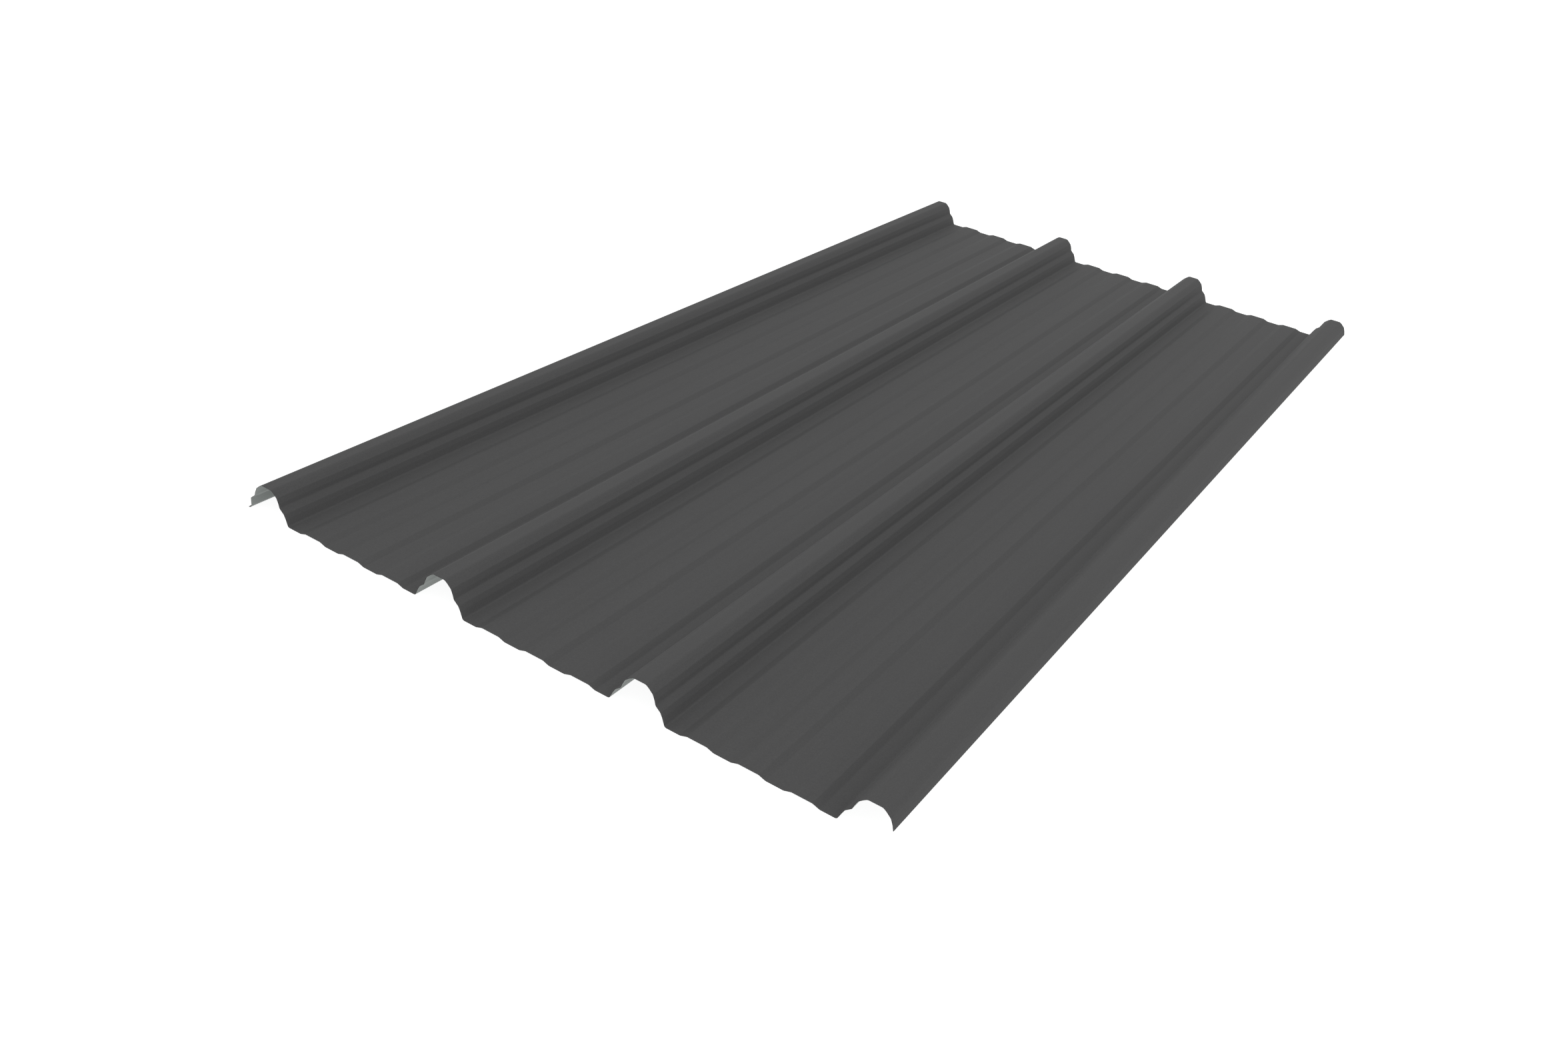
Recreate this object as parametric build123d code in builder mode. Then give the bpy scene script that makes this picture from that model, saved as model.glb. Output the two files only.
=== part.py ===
from build123d import *
from math import atan2, cos, sin
import os

# Ribbed roofing sheet, one piece of coated steel strip run through forming rolls.
# Millimetres. X runs across the sheet, from the underlap side to the overlap side,
# Y runs along the ribs, and +Z is up, with the low flats of the pans lying on Z = 0.
# The section is given by the upper face of the strip, flat by flat: each flat has its
# run across the sheet and its fall, both to the sharp corners of the bends.

# The sheet as a whole
sheet_length = 2100.0
wall = 0.63
pan_count = 3
rib_pitch = 333.0
lap_spread = 1.0  # the underlap rib stands this much further out than the pitch

# Upper tier of a rib, from the edge of its flat crest down to the step
crest_width = 20.6
brow_run = 5.2
brow_fall = 3.7
arch_run = 6.4
arch_fall = 5.8
side_run = 3.6
side_fall = 8.0
neck_run = 1.7
neck_fall = 5.9

# Lower tier, from the step down to the foot on the pan
shelf_run = 8.2
shelf_fall = 6.9
knee_run = 3.7
knee_fall = 6.9
shin_run = 4.4
shin_fall = 10.8

# Stiffening swages of the pans: raised flats, with low flats of swage_gap between them
swage_flat = 29.4
swage_slope = 10.4
swage_height = 3.45
swage_gap = 25.0

# Bend radii on the upper face
crest_bend = 8.0
rib_bend = 4.0
step_bend = 4.5
foot_bend = 4.0
swage_bend = 6.0

# Underlap side: the rib is drawn in by the wall and this play, and beyond its shelf it
# has an upright web with a turned-out foot that stands on the purlin
lap_play = 0.4
web_inset = 0.6
web_bend = 3.0
lip_bend = 5.6
lip_flat = 0.4

# Overlap side: the strip ends this far below the step
free_edge_drop = 1.5

# One half of the full rib, from the crest down to the foot
rib_flats = [
    (brow_run, brow_fall),
    (arch_run, arch_fall),
    (side_run, side_fall),
    (neck_run, neck_fall),
    (shelf_run, shelf_fall),
    (knee_run, knee_fall),
    (shin_run, shin_fall),
]
rib_bends = [
    crest_bend,
    rib_bend,
    rib_bend,
    rib_bend,
    step_bend,
    rib_bend,
    rib_bend,
    foot_bend,
]
step = rib_bends.index(step_bend)
full_rib = [(crest_width / 2, sum(fall for run, fall in rib_flats))]
for run, fall in rib_flats:
    full_rib.append((full_rib[-1][0] + run, full_rib[-1][1] - fall))


def drawn_in(before, corner, after, depth):
    """The corner moved so that the flats on both sides of it move in by depth."""
    arriving = atan2(corner[1] - before[1], corner[0] - before[0])
    leaving = atan2(after[1] - corner[1], after[0] - corner[0])
    middle = (arriving + leaving) / 2
    reach = depth / cos((leaving - arriving) / 2)
    return (corner[0] + reach * sin(middle), corner[1] - reach * cos(middle))


# One half of the underlap rib, which lies inside the overlap rib of the next sheet
lap_step = wall + lap_play
shin_slope = atan2(shin_fall, shin_run)
outline = [(-crest_width / 2, full_rib[0][1])] + full_rib
lap_rib = []
for k in range(1, len(outline) - 1):
    lap_rib.append(drawn_in(outline[k - 1], outline[k], outline[k + 1], lap_step))
lap_rib.append((full_rib[-1][0] - lap_step / sin(shin_slope), 0.0))

# Underlap side: turned-out foot, web, shelf, and over the drawn-in rib to its foot
web_half = full_rib[step + 1][0] - web_inset
web_top = lap_rib[step][1] - (web_half - lap_rib[step][0]) * shelf_fall / shelf_run
lip_half = web_half + lip_bend + lip_flat
corners = [(-lip_half, 0.0), (-web_half, 0.0), (-web_half, web_top)]
bends = [lip_bend, web_bend]
corners += [(-x, z) for x, z in reversed(lap_rib[:step + 1])]
bends += reversed(rib_bends[:step + 1])
corners += lap_rib
bends += rib_bends

# Each pan, with as many swages as it has room for, and the rib that closes it
swage_width = swage_flat + 2 * swage_slope
swage_step = swage_width + swage_gap
pan_width = rib_pitch - 2 * full_rib[-1][0]
swage_count = int(pan_width // swage_step)
rib_middles = [lap_spread + (k + 1) * rib_pitch for k in range(pan_count)]
for middle in rib_middles:
    first_swage = middle - (rib_pitch + swage_count * swage_step - swage_gap) / 2
    for k in range(swage_count):
        left = first_swage + k * swage_step
        corners += [
            (left, 0.0),
            (left + swage_slope, swage_height),
            (left + swage_slope + swage_flat, swage_height),
            (left + swage_width, 0.0),
        ]
        bends += [swage_bend] * 4
    corners += [(middle - x, z) for x, z in reversed(full_rib)]
    bends += reversed(rib_bends)
    if middle < rib_middles[-1]:
        corners += [(middle + x, z) for x, z in full_rib]
        bends += rib_bends

# Overlap side: over the crest and down the upper tier to a free edge
overlap_middle = rib_middles[-1]
corners += [(overlap_middle + x, z) for x, z in full_rib[:step]]
bends += rib_bends[:step]
edge_half = full_rib[step][0] + free_edge_drop * neck_run / neck_fall
corners += [(overlap_middle + edge_half, full_rib[step][1] - free_edge_drop)]

# The sheet is centred between its two outermost edges and stands on its pans
shift_x = (lip_half - overlap_middle - edge_half) / 2
corners = [(x + shift_x, z + wall) for x, z in corners]

with BuildPart() as profiled_sheet:
    with BuildSketch(Plane.XZ):
        with BuildLine():
            FilletPolyline(*corners, radius=bends)
            offset(amount=wall, side=Side.RIGHT)
        make_face()
    extrude(amount=sheet_length / 2, both=True)

profiled_sheet.part.label = "profiled_sheet"

os.makedirs("parts", exist_ok=True)
export_step(profiled_sheet.part, "parts/profiled_sheet.step")
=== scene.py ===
import bpy
from math import atan2, copysign, cos, hypot, pi, radians, sin, tan
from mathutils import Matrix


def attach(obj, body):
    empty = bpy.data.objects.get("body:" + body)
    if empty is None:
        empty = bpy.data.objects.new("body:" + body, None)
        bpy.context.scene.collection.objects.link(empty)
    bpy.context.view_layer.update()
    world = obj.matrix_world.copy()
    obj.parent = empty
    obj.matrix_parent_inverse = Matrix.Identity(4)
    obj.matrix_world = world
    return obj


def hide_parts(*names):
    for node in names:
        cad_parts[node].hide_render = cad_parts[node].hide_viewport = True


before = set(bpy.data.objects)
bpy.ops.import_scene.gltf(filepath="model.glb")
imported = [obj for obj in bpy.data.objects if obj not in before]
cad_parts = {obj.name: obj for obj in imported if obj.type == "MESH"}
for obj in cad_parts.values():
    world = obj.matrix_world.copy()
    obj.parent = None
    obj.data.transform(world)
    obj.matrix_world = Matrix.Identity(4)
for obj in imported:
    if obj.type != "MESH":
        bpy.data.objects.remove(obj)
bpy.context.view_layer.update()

# PAN AND RIB
# The sheet is one strip of thin coated steel that forming rolls bend flat by flat. This is
# one pitch of it: a pan with three low swages, and the stepped rib that closes the pan. The
# strip is drawn on from its long edge, and each bend is spun to the radius of its roll.
mm = 0.001
sheet_length = 2100.0 * mm
wall = 0.63 * mm
rib_pitch = 333.0 * mm
first_rib = -159.416102 * mm  # middle of the rib that closes the first pan
crest_width = 20.6 * mm
rib_flats = [  # run and fall of each flat, from the crest to the foot
    (5.2 * mm, 3.7 * mm),  # brow
    (6.4 * mm, 5.8 * mm),  # arch
    (3.6 * mm, 8.0 * mm),  # side
    (1.7 * mm, 5.9 * mm),  # neck
    (8.2 * mm, 6.9 * mm),  # shelf
    (3.7 * mm, 6.9 * mm),  # knee
    (4.4 * mm, 10.8 * mm),  # shin
]
crest_bend = 8.0 * mm
rib_bend = 4.0 * mm
step_bend = 4.5 * mm
foot_bend = 4.0 * mm
rib_bends = [crest_bend, rib_bend, rib_bend, rib_bend, step_bend, rib_bend, rib_bend, foot_bend]
step = rib_bends.index(step_bend)
swage_count = 3
swage_flat = 29.4 * mm
swage_slope = 10.4 * mm
swage_height = 3.45 * mm
swage_gap = 25.0 * mm
swage_bend = 6.0 * mm
swage_step = swage_flat + 2 * swage_slope + swage_gap
first_flat = 1.0 * mm  # the strip that the rest is drawn on from
foot_flat = 8.0 * mm  # the pitches join this far out on the flat beyond a foot
face_turn = radians(4.0)  # about what one face of a bend turns
fewest_faces = 2  # in the slightest bend
same_place = 0.01 * mm  # points closer than this are one

# Corners of half a rib's upper face, out from its middle and up from the pan's upper face
full_rib = [(crest_width / 2, sum(fall for run, fall in rib_flats))]
for run, fall in rib_flats:
    full_rib.append((full_rib[-1][0] + run, full_rib[-1][1] - fall))


def draw_on(strip, edge, corners, bends):
    """Draws the strip's upper face on from its long edge, round each corner, to the last one."""
    x, z = edge
    bpy.ops.object.mode_set(mode="EDIT")
    bpy.ops.mesh.select_mode(type="EDGE")
    bpy.ops.mesh.select_all(action="DESELECT")
    bpy.ops.object.mode_set(mode="OBJECT")
    for line in strip.data.edges:
        ends = [strip.data.vertices[v].co for v in line.vertices]
        line.select = all(hypot(p.x - x, p.z - z - wall) < same_place for p in ends)
    bpy.ops.object.mode_set(mode="EDIT")
    for k, (corner_x, corner_z) in enumerate(corners):
        heading = atan2(corner_z - z, corner_x - x)
        flat = hypot(corner_x - x, corner_z - z)
        turn, setback = 0.0, 0.0
        if k < len(bends):
            next_x, next_z = corners[k + 1]
            leaving = atan2(next_z - corner_z, next_x - corner_x)
            turn = (leaving - heading + pi) % (2 * pi) - pi
            setback = bends[k] * tan(abs(turn) / 2)
        flat -= setback
        x += flat * cos(heading)
        z += flat * sin(heading)
        bpy.ops.mesh.extrude_region_move(
            TRANSFORM_OT_translate={"value": (flat * cos(heading), 0.0, flat * sin(heading))}
        )
        if turn:
            reach = copysign(bends[k], turn)
            centre = (x - reach * sin(heading), 0.0, z + reach * cos(heading) + wall)
            bpy.ops.mesh.spin(
                steps=max(fewest_faces, round(abs(turn) / face_turn)),
                angle=turn,
                center=centre,
                axis=(0.0, 1.0, 0.0),
            )
            x = corner_x + setback * cos(heading + turn)
            z = corner_z + setback * sin(heading + turn)


start = first_rib - rib_pitch + full_rib[-1][0] + foot_flat
bpy.ops.object.select_all(action="DESELECT")
bpy.ops.mesh.primitive_plane_add(size=1.0)
sheet = bpy.context.object
sheet.name = "roofing_sheet"
bpy.ops.object.mode_set(mode="EDIT")
bpy.ops.transform.resize(value=(first_flat, sheet_length, 1.0))
bpy.ops.transform.translate(value=(start + first_flat / 2, 0.0, wall))

corners = []
bends = []
first_swage = first_rib - (rib_pitch + swage_count * swage_step - swage_gap) / 2
for k in range(swage_count):
    left = first_swage + k * swage_step
    corners += [
        (left, 0.0),
        (left + swage_slope, swage_height),
        (left + swage_slope + swage_flat, swage_height),
        (left + 2 * swage_slope + swage_flat, 0.0),
    ]
    bends += [swage_bend] * 4
corners += [(first_rib - x, z) for x, z in reversed(full_rib)]
corners += [(first_rib + x, z) for x, z in full_rib]
bends += rib_bends[::-1] + rib_bends
corners.append((start + rib_pitch, 0.0))
draw_on(sheet, (start + first_flat, 0.0), corners, bends)
bpy.ops.object.mode_set(mode="OBJECT")

# OVERLAP SIDE
# Three like pitches lie side by side. The last rib has no step on its outer side: its neck
# runs on straight to a slit edge, which lies over the underlap rib of the next sheet. The
# neck is cut through at half its height and drawn on from there.
pan_count = 3
free_edge_drop = 1.5 * mm  # below the corner at which the other necks turn out to the step
cut_reach = 0.001 * mm
overlap_rib = first_rib + (pan_count - 1) * rib_pitch

pitches = sheet.modifiers.new("pitches", "ARRAY")
pitches.count = pan_count
pitches.use_relative_offset = False
pitches.use_constant_offset = True
pitches.constant_offset_displace = (rib_pitch, 0.0, 0.0)
pitches.use_merge_vertices = True
pitches.merge_threshold = same_place
bpy.ops.object.modifier_apply(modifier="pitches")

neck_run, neck_fall = rib_flats[step - 1]
neck = hypot(neck_run, neck_fall)
neck_x, neck_z = full_rib[step]
neck_middle = (overlap_rib + neck_x - neck_run / 2, neck_z + neck_fall / 2)
free_edge = (
    overlap_rib + neck_x + free_edge_drop * neck_run / neck_fall,
    neck_z - free_edge_drop,
)
bpy.ops.object.mode_set(mode="EDIT")
bpy.ops.mesh.select_mode(type="FACE")
bpy.ops.mesh.select_all(action="DESELECT")
bpy.ops.object.mode_set(mode="OBJECT")
for face in sheet.data.polygons:
    face.select = face.center.x > overlap_rib
bpy.ops.object.mode_set(mode="EDIT")
bpy.ops.mesh.bisect(
    plane_co=(neck_middle[0], 0.0, neck_middle[1] + wall),
    plane_no=(neck_run / neck, 0.0, -neck_fall / neck),
    clear_outer=True,
    threshold=cut_reach,
)
draw_on(sheet, neck_middle, [free_edge], [])

# UNDERLAP SIDE
# The rib that goes under the next sheet is drawn in by the wall and some play. Outside its
# step it has an upright web with a turned-out foot, which stands on the purlin.
lap_play = 0.4 * mm
lap_step = wall + lap_play
lap_spread = 1.0 * mm  # this rib stands that much further out than the pitch
web_inset = 0.6 * mm
web_half = full_rib[step + 1][0] - web_inset
web_bend = 3.0 * mm
lip_bend = 5.6 * mm
lip_flat = 0.4 * mm
underlap_rib = first_rib - rib_pitch - lap_spread


def drawn_in(before, corner, after, depth):
    """The corner moved so that the flats on both sides of it move in by depth."""
    arriving = atan2(corner[1] - before[1], corner[0] - before[0])
    leaving = atan2(after[1] - corner[1], after[0] - corner[0])
    middle = (arriving + leaving) / 2
    reach = depth / cos((leaving - arriving) / 2)
    return (corner[0] + reach * sin(middle), corner[1] - reach * cos(middle))


outline = [(-crest_width / 2, full_rib[0][1])] + full_rib
lap_rib = []
for k in range(1, len(outline) - 1):
    lap_rib.append(drawn_in(outline[k - 1], outline[k], outline[k + 1], lap_step))
shin_run, shin_fall = rib_flats[-1]
lap_rib.append((full_rib[-1][0] - lap_step * hypot(shin_run, shin_fall) / shin_fall, 0.0))
shelf_run, shelf_fall = rib_flats[step]
web_top = lap_rib[step][1] - (web_half - lap_rib[step][0]) * shelf_fall / shelf_run

corners = [(underlap_rib + x, z) for x, z in reversed(lap_rib)]
corners += [(underlap_rib - x, z) for x, z in lap_rib[:step + 1]]
corners += [
    (underlap_rib - web_half, web_top),
    (underlap_rib - web_half, 0.0),
    (underlap_rib - web_half - lip_bend - lip_flat, 0.0),
]
bends = rib_bends[::-1] + rib_bends[:step + 1] + [web_bend, lip_bend]
draw_on(sheet, (start, 0.0), corners, bends)

# GAUGE AND CUT EDGES
# The strip is slit from coil and sheared to length. Its gauge goes down from the upper
# face, which is the one that was drawn. The knives leave square cuts, and only the sharp
# arrises of these are broken a little.
arris = 0.05 * mm
arris_faces = 2
arris_turn = radians(60.0)  # what turns by more is a cut's arris
smooth_turn = radians(30.0)  # what turns by less is shaded round
weld_reach = 0.005 * mm
finishes = ["paint", "backing", "cut"]

bpy.ops.mesh.select_all(action="SELECT")
bpy.ops.mesh.remove_doubles(threshold=weld_reach)
bpy.ops.mesh.normals_make_consistent(inside=False)
bpy.ops.object.mode_set(mode="OBJECT")
if sum(face.normal.z * face.area for face in sheet.data.polygons) < 0:
    sheet.data.flip_normals()

for name in finishes:
    sheet.data.materials.append(bpy.data.materials.new("sheet_" + name))
gauge = sheet.modifiers.new("gauge", "SOLIDIFY")
gauge.thickness = wall
gauge.offset = -1.0
gauge.use_even_offset = True
gauge.material_offset = finishes.index("backing")
gauge.material_offset_rim = finishes.index("cut")
bpy.ops.object.modifier_apply(modifier="gauge")
broken = sheet.modifiers.new("broken", "BEVEL")
broken.width = arris
broken.segments = arris_faces
broken.limit_method = "ANGLE"
broken.angle_limit = arris_turn
bpy.ops.object.modifier_apply(modifier="broken")
bpy.ops.object.shade_smooth_by_angle(angle=smooth_turn)
level = sheet.modifiers.new("level", "WEIGHTED_NORMAL")
level.keep_sharp = True
bpy.ops.object.modifier_apply(modifier="level")
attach(sheet, "root")
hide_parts("profiled_sheet")

# PAINT
# The upper face has a matt anthracite polyester coat, rolled on in the coil before forming.
# It has a fine dead grain, faint long streaks from the coating roll, and an even low gloss.
streak_scale = (90.0, 1.3, 90.0)  # across, along and through the sheet
streak_detail = 3.0
speckle_scale = 600.0
speckle_detail = 2.0
speckle_share = 0.75  # of the tone, and the streaks give the rest
noise_low = 0.3
noise_high = 0.7
roughness_spread = 0.03
grain_height = 0.02 * mm
resin_ior = 1.45
paint_dark = (0.0460, 0.0460, 0.0462)
paint_light = (0.0580, 0.0580, 0.0582)
paint_specular = 0.19


def coat(name, dark, light, roughness, grain):
    """A rolled and baked coat: long streaks, fine grain, and the gloss that goes with them."""
    material = bpy.data.materials["sheet_" + name]
    material.use_nodes = True
    nodes = material.node_tree.nodes
    link = material.node_tree.links.new
    surface = nodes["Principled BSDF"]
    where = nodes.new("ShaderNodeTexCoord")
    along = nodes.new("ShaderNodeMapping")
    along.inputs["Scale"].default_value = streak_scale
    streak = nodes.new("ShaderNodeTexNoise")
    streak.inputs["Scale"].default_value = 1.0
    streak.inputs["Detail"].default_value = streak_detail
    speckle = nodes.new("ShaderNodeTexNoise")
    speckle.inputs["Scale"].default_value = speckle_scale
    speckle.inputs["Detail"].default_value = speckle_detail
    both = nodes.new("ShaderNodeMix")
    both.inputs["Factor"].default_value = speckle_share
    tone = nodes.new("ShaderNodeValToRGB")
    tone.color_ramp.elements[0].position = noise_low
    tone.color_ramp.elements[0].color = (*dark, 1.0)
    tone.color_ramp.elements[1].position = noise_high
    tone.color_ramp.elements[1].color = (*light, 1.0)
    sheen = nodes.new("ShaderNodeMapRange")
    sheen.inputs["From Min"].default_value = noise_low
    sheen.inputs["From Max"].default_value = noise_high
    sheen.inputs["To Min"].default_value = roughness - roughness_spread
    sheen.inputs["To Max"].default_value = roughness + roughness_spread
    relief = nodes.new("ShaderNodeBump")
    relief.inputs["Strength"].default_value = grain
    relief.inputs["Distance"].default_value = grain_height
    link(where.outputs["Object"], along.inputs["Vector"])
    link(along.outputs["Vector"], streak.inputs["Vector"])
    link(where.outputs["Object"], speckle.inputs["Vector"])
    link(streak.outputs["Fac"], both.inputs["A"])
    link(speckle.outputs["Fac"], both.inputs["B"])
    link(both.outputs["Result"], tone.inputs["Fac"])
    link(tone.outputs["Color"], surface.inputs["Base Color"])
    link(both.outputs["Result"], sheen.inputs["Value"])
    link(sheen.outputs["Result"], surface.inputs["Roughness"])
    link(speckle.outputs["Fac"], relief.inputs["Height"])
    link(relief.outputs["Normal"], surface.inputs["Normal"])
    return surface


paint = coat("paint", paint_dark, paint_light, roughness=0.77, grain=0.25)
paint.inputs["IOR"].default_value = resin_ior
paint.inputs["Specular IOR Level"].default_value = paint_specular

# BACKING COAT
# The underside has only a thin grey-green wash coat over the zinc, a little cloudy. It
# shows in the open ends of the ribs.
backing_dark = (0.190, 0.208, 0.198)
backing_light = (0.212, 0.227, 0.220)

backing = coat("backing", backing_dark, backing_light, roughness=0.6, grain=0.15)
backing.inputs["IOR"].default_value = resin_ior

# CUT EDGES
# The four cut edges are dull dark lines: the shear and the slitting knives drag the dark coat
# over the bare steel of the wall, and leave it uneven. Their colour is made darker still as
# painted shade: it stands in for the dark shaded outline along the edges, and keeps the light
# from the table off them.
cut_painted_shade_dark = (0.012, 0.012, 0.0122)
cut_painted_shade_light = (0.024, 0.024, 0.0245)
cut_specular = 0.2

# the cut faces' colour holds painted shade as well as the dragged coat
cut = coat("cut", cut_painted_shade_dark, cut_painted_shade_light, roughness=0.6, grain=0.4)
cut.inputs["Specular IOR Level"].default_value = cut_specular

# FLOOR AND STUDIO LIGHT
# The sheet lies flat on a lit white table in an even white studio, with one wide soft panel
# of light on its overlap side. The lit top keeps the hollows under the ribs pale.
white = (1.0, 1.0, 1.0, 1.0)
table_size = 30.0
table_drop = 0.1 * mm  # so that the top and the sheet's underside don't share a plane
table_grey = (0.2, 0.2, 0.2, 1.0)
table_roughness = 0.9
table_glow = 0.9
studio_strength = 1.284
panel_place = (2.6, 0.0, 2.8)
panel_tilt = radians(42.0)
panel_width = 4.0
panel_length = 5.0
panel_power = 6.7

bpy.ops.object.select_all(action="DESELECT")
bpy.ops.mesh.primitive_plane_add(size=table_size, location=(0.0, 0.0, -table_drop))
floor = bpy.context.object
floor.name = "light_table"
table_top = bpy.data.materials.new("table_top")
table_top.use_nodes = True
frosted = table_top.node_tree.nodes["Principled BSDF"]
frosted.inputs["Base Color"].default_value = table_grey
frosted.inputs["Roughness"].default_value = table_roughness
frosted.inputs["Emission Color"].default_value = white
frosted.inputs["Emission Strength"].default_value = table_glow
floor.data.materials.append(table_top)

studio = bpy.data.worlds.new("studio")
bpy.context.scene.world = studio
studio.use_nodes = True
studio.node_tree.nodes["Background"].inputs["Color"].default_value = white
studio.node_tree.nodes["Background"].inputs["Strength"].default_value = studio_strength

bpy.ops.object.light_add(type="AREA", location=panel_place, rotation=(0.0, panel_tilt, 0.0))
panel = bpy.context.object
panel.name = "soft_panel"
panel.data.shape = "RECTANGLE"
panel.data.size = panel_width
panel.data.size_y = panel_length
panel.data.energy = panel_power

# CAMERA
# It stands out from the near corner of the overlap side, about 1.1 m above the sheet, and
# looks across it to the far left, a little rolled, as in the photograph.
camera_place = (0.965226, -2.184053, 1.088876)
camera_turns = (59.83317, -6.98890, 33.09067)  # degrees about X, Y and Z
sensor_width = 36.0
focal_length = 32.41638
shift_x = 0.0026
shift_y = -0.0007

bpy.ops.object.camera_add(
    location=camera_place,
    rotation=tuple(radians(turn) for turn in camera_turns),
)
camera = bpy.context.object
camera.name = "photo_camera"
camera.data.sensor_width = sensor_width
camera.data.lens = focal_length
camera.data.shift_x = shift_x
camera.data.shift_y = shift_y
bpy.context.scene.camera = camera
bpy.context.scene.view_settings.view_transform = "Standard"
